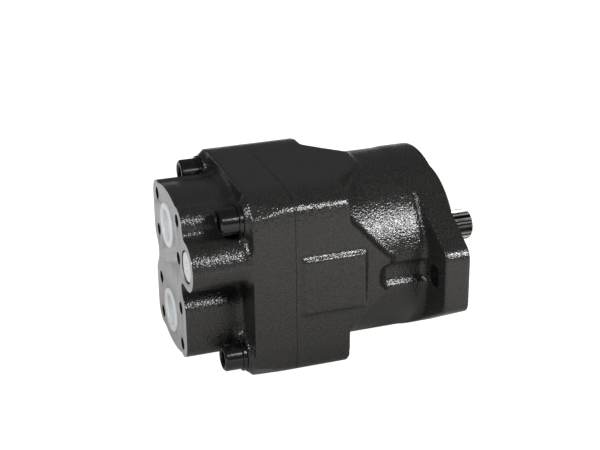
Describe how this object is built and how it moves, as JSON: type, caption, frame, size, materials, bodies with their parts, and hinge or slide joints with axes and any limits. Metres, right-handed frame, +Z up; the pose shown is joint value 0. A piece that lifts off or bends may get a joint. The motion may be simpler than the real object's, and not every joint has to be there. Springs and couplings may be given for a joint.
{
  "type": "hydraulic motor",
  "caption": "Hydraulic vane motor with a square cast body, two-bolt mounting flange, splined shaft, rear flanged ports with shipping plugs and a side drain.",
  "frame": {"origin": "point on the shaft axis in the plane of the mounting face", "axes": "+X along the shaft, out of the driving end; +Z up, along the line of the two ports; +Y away from the drain port"},
  "size_m": [0.2204, 0.1804, 0.128],
  "materials": {
    "cast_paint": "satin black paint over sand-cast iron",
    "shipping_plug": "translucent white moulded plastic",
    "drain_plug": "white moulded plastic",
    "nitrile": "smooth matt",
    "shaft_steel": "machined",
    "spring_steel": "blued",
    "bearing_steel": "ground",
    "vane_steel": "ground",
    "brass_cage": "stamped",
    "port_plate": "lapped bronze",
    "black_oxide": "oiled black oxide"
  },
  "bodies": {
    "motor_body": {"housing": "cast_paint", "end_cap": "cast_paint", "cap_screw_1": "black_oxide", "cap_screw_2": "black_oxide", "cap_screw_3": "black_oxide", "cap_screw_4": "black_oxide", "cap_washer_1": "black_oxide", "cap_washer_2": "black_oxide", "cap_washer_3": "black_oxide", "cap_washer_4": "black_oxide", "body_o_ring": "nitrile", "gallery_o_ring": "nitrile", "housing_snap_ring": "spring_steel", "shaft_seal": "nitrile", "seal_spring": "spring_steel", "front_bearing_outer": "bearing_steel", "rear_bearing_shell": "bearing_steel", "front_plate": "port_plate", "rear_plate": "port_plate", "plate_seal": "nitrile", "plate_spring": "spring_steel", "dowel_pins": "bearing_steel", "shuttle_plugs": "bearing_steel", "cam_ring": "bearing_steel"},
    "rotating_group": {"shaft": "shaft_steel", "shaft_snap_ring": "spring_steel", "front_bearing_inner": "bearing_steel", "rotor": "bearing_steel"},
    "front_ball_set": {"front_bearing_balls": "bearing_steel", "front_bearing_cage": "brass_cage"},
    "rear_needle_set": {"rear_bearing_rollers": "bearing_steel", "rear_bearing_cage": "brass_cage"},
    "upper_port_plug": {"port_plug_a": "shipping_plug"},
    "lower_port_plug": {"port_plug_b": "shipping_plug"},
    "drain_port_plug": {"drain_plug": "drain_plug"},
    "shuttle": {"shuttle_spool": "bearing_steel"},
    "vane_set_01": {"vane_01": "vane_steel", "vane_pin_01": "bearing_steel"},
    "vane_set_02": {"vane_02": "vane_steel", "vane_pin_02": "bearing_steel"},
    "vane_set_03": {"vane_03": "vane_steel", "vane_pin_03": "bearing_steel"},
    "vane_set_04": {"vane_04": "vane_steel", "vane_pin_04": "bearing_steel"},
    "vane_set_05": {"vane_05": "vane_steel", "vane_pin_05": "bearing_steel"},
    "vane_set_06": {"vane_06": "vane_steel", "vane_pin_06": "bearing_steel"},
    "vane_set_07": {"vane_07": "vane_steel", "vane_pin_07": "bearing_steel"},
    "vane_set_08": {"vane_08": "vane_steel", "vane_pin_08": "bearing_steel"},
    "vane_set_09": {"vane_09": "vane_steel", "vane_pin_09": "bearing_steel"},
    "vane_set_10": {"vane_10": "vane_steel", "vane_pin_10": "bearing_steel"}
  },
  "joints": [
    {"name": "shaft_spin", "type": "hinge", "parent": "motor_body", "child": "rotating_group", "pos_m": [0, 0, 0], "axis": [1, 0, 0], "continuous": true},
    {"name": "front_balls_orbit", "type": "hinge", "parent": "motor_body", "child": "front_ball_set", "pos_m": [0, 0, 0], "axis": [1, 0, 0], "continuous": true},
    {"name": "rear_needles_orbit", "type": "hinge", "parent": "motor_body", "child": "rear_needle_set", "pos_m": [0, 0, 0], "axis": [1, 0, 0], "continuous": true},
    {"name": "upper_plug_pull", "type": "slide", "parent": "motor_body", "child": "upper_port_plug", "axis": [-1, 0, 0], "range_m": [0, 0.04]},
    {"name": "lower_plug_pull", "type": "slide", "parent": "motor_body", "child": "lower_port_plug", "axis": [-1, 0, 0], "range_m": [0, 0.04]},
    {"name": "drain_plug_pull", "type": "slide", "parent": "motor_body", "child": "drain_port_plug", "axis": [-1, 0, 0], "range_m": [0, 0.03]},
    {"name": "shuttle_slide", "type": "slide", "parent": "motor_body", "child": "shuttle", "axis": [0, 1, 0], "range_m": [-0.003, 0.003]},
    {"name": "vane_01_stroke", "type": "slide", "parent": "rotating_group", "child": "vane_set_01", "axis": [0, 0.9511, 0.309], "range_m": [-0.0004, 0.0004]},
    {"name": "vane_02_stroke", "type": "slide", "parent": "rotating_group", "child": "vane_set_02", "axis": [0, 0.5878, 0.809], "range_m": [-0.0004, 0.0025]},
    {"name": "vane_03_stroke", "type": "slide", "parent": "rotating_group", "child": "vane_set_03", "axis": [0, 0, 1], "range_m": [-0.0004, 0.004]},
    {"name": "vane_04_stroke", "type": "slide", "parent": "rotating_group", "child": "vane_set_04", "axis": [0, -0.5878, 0.809], "range_m": [-0.0004, 0.0025]},
    {"name": "vane_05_stroke", "type": "slide", "parent": "rotating_group", "child": "vane_set_05", "axis": [0, -0.9511, 0.309], "range_m": [-0.0004, 0.0004]},
    {"name": "vane_06_stroke", "type": "slide", "parent": "rotating_group", "child": "vane_set_06", "axis": [0, -0.9511, -0.309], "range_m": [-0.0004, 0.0004]},
    {"name": "vane_07_stroke", "type": "slide", "parent": "rotating_group", "child": "vane_set_07", "axis": [0, -0.5878, -0.809], "range_m": [-0.0004, 0.0025]},
    {"name": "vane_08_stroke", "type": "slide", "parent": "rotating_group", "child": "vane_set_08", "axis": [0, 0, -1], "range_m": [-0.0004, 0.004]},
    {"name": "vane_09_stroke", "type": "slide", "parent": "rotating_group", "child": "vane_set_09", "axis": [0, 0.5878, -0.809], "range_m": [-0.0004, 0.0025]},
    {"name": "vane_10_stroke", "type": "slide", "parent": "rotating_group", "child": "vane_set_10", "axis": [0, 0.9511, -0.309], "range_m": [-0.0004, 0.0004]}
  ],
  "couplings": [
    {"joint": "front_balls_orbit", "follows": "shaft_spin", "ratio": 0.4},
    {"joint": "rear_needles_orbit", "follows": "shaft_spin", "ratio": 0.4545}
  ]
}
